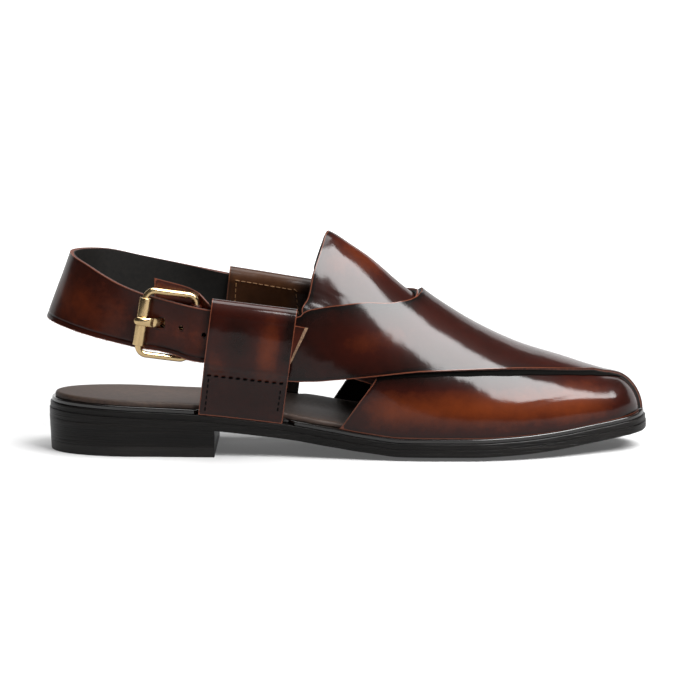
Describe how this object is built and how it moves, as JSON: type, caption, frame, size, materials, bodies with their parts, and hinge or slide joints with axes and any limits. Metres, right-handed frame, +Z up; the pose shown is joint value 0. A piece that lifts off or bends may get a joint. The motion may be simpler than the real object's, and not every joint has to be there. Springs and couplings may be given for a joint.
{
  "type": "peshawari chappal sandal",
  "caption": "Men's right peshawari sandal: crossed leather bands over a peaked tongue, keeper loops at the waist, buckled heel strap, black low-heeled sole.",
  "frame": {"origin": "middle of the heel's resting face, on the floor", "axes": "+X from heel to toe, +Y to the medial (inner) side, +Z up from the floor"},
  "size_m": [0.3028, 0.0977, 0.1108],
  "materials": {
    "upper_leather": "burnished, polished red-brown",
    "strap_leather": "burnished dark brown, black lining",
    "sock_leather": "matt brown with a dark edge",
    "sole_leather": "black edge dressing, satin",
    "sole_rubber": "black, satin",
    "brass": "polished, pale gold"
  },
  "bodies": {
    "root": {"outsole": "sole_rubber", "midsole": "sole_leather", "insole_board": "sole_leather", "heel_stack": "sole_leather", "heel_top_piece": "sole_rubber", "insole": "sock_leather", "upper": "upper_leather", "tongue": "upper_leather", "keeper_lateral": "upper_leather", "keeper_medial": "upper_leather", "heel_strap": "strap_leather", "buckle_tab": "strap_leather", "buckle_frame": "brass", "buckle_roller": "brass", "buckle_prong": "brass"}
  },
  "joints": []
}
